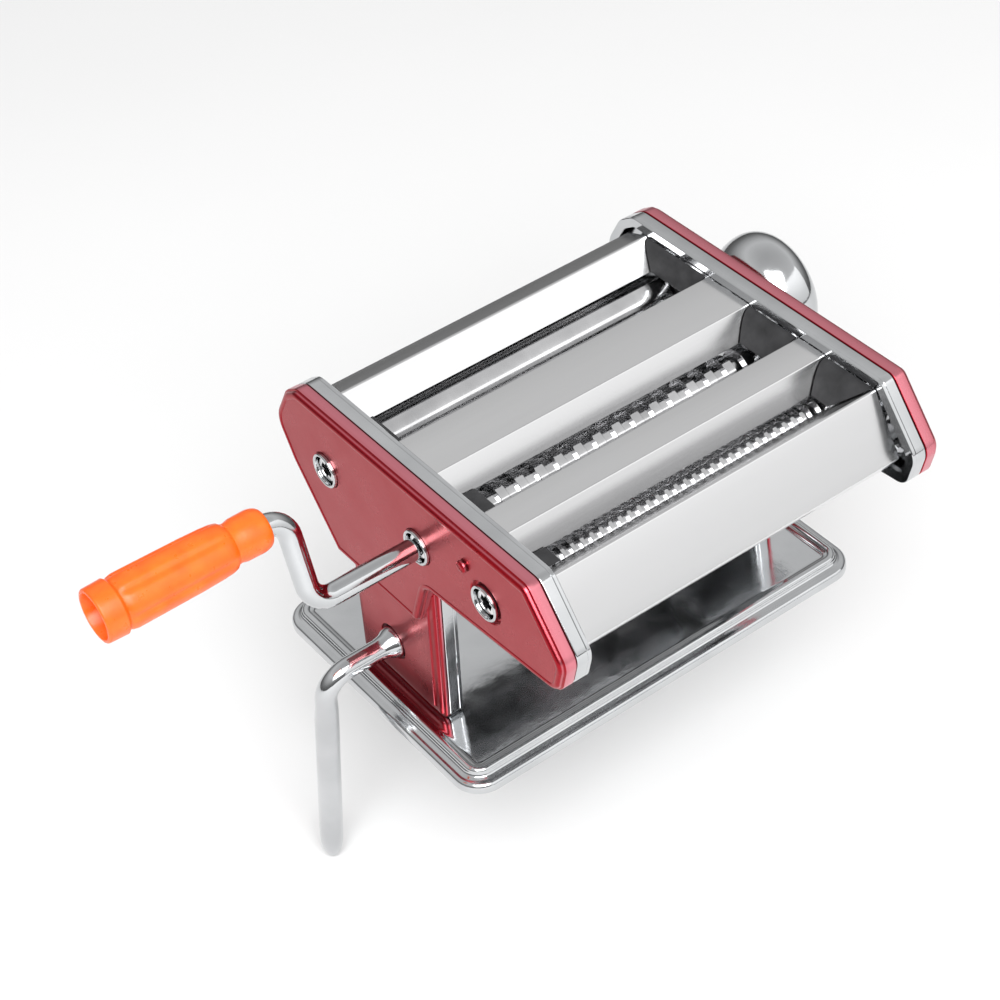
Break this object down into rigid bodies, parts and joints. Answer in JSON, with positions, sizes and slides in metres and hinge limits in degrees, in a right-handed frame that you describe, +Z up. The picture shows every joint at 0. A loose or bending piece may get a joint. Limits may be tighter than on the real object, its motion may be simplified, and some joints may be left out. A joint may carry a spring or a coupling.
{
  "type": "pasta roller machine",
  "caption": "Hand-cranked kitchen dough roller with smooth rollers, two cutter pairs, red side covers, a removable crank, a thickness knob and a clamp lever.",
  "frame": {"origin": "on the table under the middle of the base tray", "axes": "+X along the rollers from the crank to the knob, +Y from the front panel to the back, +Z up"},
  "size_m": [0.3323, 0.1872, 0.242],
  "materials": {
    "chrome": "bright polished plate",
    "stainless_sheet": "satin folded sheet",
    "roller_steel": "ground and polished",
    "gear_steel": "oiled steel",
    "red_lacquer": "metallic red lacquer",
    "orange_plastic": "moulded, half gloss",
    "black_nylon": "moulded nylon",
    "rubber": "matt"
  },
  "bodies": {
    "machine": {"axle_bearing_left": "black_nylon", "axle_bearing_right": "black_nylon", "back_panel": "stainless_sheet", "base_tray": "chrome", "centre_panel_back": "stainless_sheet", "centre_panel_front": "stainless_sheet", "cover_screw": "red_lacquer", "detent_pin": "roller_steel", "end_guide_fine_left": "black_nylon", "end_guide_fine_right": "black_nylon", "end_guide_smooth_left": "black_nylon", "end_guide_smooth_right": "black_nylon", "end_guide_wide_left": "black_nylon", "end_guide_wide_right": "black_nylon", "fine_bearing_left": "black_nylon", "fine_bearing_right": "black_nylon", "fine_comb_front": "roller_steel", "fine_comb_rear": "roller_steel", "front_panel": "stainless_sheet", "rubber_foot_front_left": "rubber", "rubber_foot_front_right": "rubber", "rubber_foot_rear_left": "rubber", "rubber_foot_rear_right": "rubber", "scraper_front": "roller_steel", "scraper_rear": "roller_steel", "side_cover_left": "red_lacquer", "side_cover_right": "red_lacquer", "side_frame_left": "chrome", "side_frame_right": "chrome", "smooth_bearing_left": "black_nylon", "smooth_bearing_right": "black_nylon", "socket_collar_fine": "chrome", "socket_collar_smooth": "chrome", "socket_collar_wide": "chrome", "tie_rod_front": "roller_steel", "tie_rod_rear": "roller_steel", "wide_bearing_left": "black_nylon", "wide_bearing_right": "black_nylon", "wide_comb_front": "roller_steel", "wide_comb_rear": "roller_steel"},
    "smooth_drive": {"smooth_roller_drive": "roller_steel", "smooth_gear_drive": "gear_steel"},
    "thickness_axle": {"eccentric_axle": "roller_steel"},
    "smooth_moving": {"smooth_roller_moving": "roller_steel"},
    "smooth_idler": {"smooth_gear_moving": "gear_steel"},
    "knob": {"adjuster_knob": "chrome", "knob_cap": "chrome", "knob_spring": "roller_steel"},
    "wide_drive": {"wide_cutter_drive": "roller_steel", "wide_gear_drive": "gear_steel"},
    "wide_driven": {"wide_cutter_driven": "roller_steel", "wide_gear_driven": "gear_steel"},
    "fine_drive": {"fine_cutter_drive": "roller_steel", "fine_gear_drive": "gear_steel"},
    "fine_driven": {"fine_cutter_driven": "roller_steel", "fine_gear_driven": "gear_steel"},
    "crank": {"crank_rod": "chrome"},
    "grip": {"crank_grip": "orange_plastic"},
    "clamp": {"clamp_lever": "chrome"}
  },
  "joints": [
    {"name": "smooth_spin", "type": "hinge", "parent": "machine", "child": "smooth_drive", "pos_m": [0, 0.0263, 0.1028], "axis": [1, 0, 0], "continuous": true},
    {"name": "thickness_turn", "type": "hinge", "parent": "machine", "child": "thickness_axle", "pos_m": [0, 0.00283, 0.0978], "axis": [1, 0, 0], "range_deg": [-90, 0]},
    {"name": "smooth_follow", "type": "hinge", "parent": "thickness_axle", "child": "smooth_moving", "pos_m": [0, 0.00231, 0.10024], "axis": [1, 0, 0], "continuous": true},
    {"name": "smooth_idler_follow", "type": "hinge", "parent": "machine", "child": "smooth_idler", "pos_m": [0, 0.00283, 0.0978], "axis": [1, 0, 0], "continuous": true},
    {"name": "knob_pull", "type": "slide", "parent": "thickness_axle", "child": "knob", "axis": [1, 0, 0], "range_m": [0, 0.004], "stiffness_N_per_m": 800, "springref_m": -0.004, "deforming": ["knob_spring"]},
    {"name": "wide_spin", "type": "hinge", "parent": "machine", "child": "wide_drive", "pos_m": [0, -0.034, 0.1045], "axis": [1, 0, 0], "continuous": true},
    {"name": "wide_follow", "type": "hinge", "parent": "machine", "child": "wide_driven", "pos_m": [0, -0.05, 0.1045], "axis": [1, 0, 0], "continuous": true},
    {"name": "fine_spin", "type": "hinge", "parent": "machine", "child": "fine_drive", "pos_m": [0, -0.076, 0.1065], "axis": [1, 0, 0], "continuous": true},
    {"name": "fine_follow", "type": "hinge", "parent": "machine", "child": "fine_driven", "pos_m": [0, -0.0882, 0.1065], "axis": [1, 0, 0], "continuous": true},
    {"name": "crank_pull", "type": "slide", "parent": "wide_drive", "child": "crank", "axis": [-1, 0, 0], "range_m": [0, 0.0135]},
    {"name": "grip_spin", "type": "hinge", "parent": "crank", "child": "grip", "pos_m": [-0.176, -0.0235, 0.14], "axis": [1, 0, 0], "continuous": true},
    {"name": "clamp_swing", "type": "hinge", "parent": "machine", "child": "clamp", "pos_m": [-0.08, 0, 0.029], "axis": [1, 0, 0], "range_deg": [-80, 100]}
  ],
  "couplings": [
    {"joint": "smooth_follow", "follows": "smooth_spin", "ratio": -1},
    {"joint": "smooth_idler_follow", "follows": "smooth_spin", "ratio": -1},
    {"joint": "wide_follow", "follows": "wide_spin", "ratio": -1},
    {"joint": "fine_follow", "follows": "fine_spin", "ratio": -1}
  ]
}
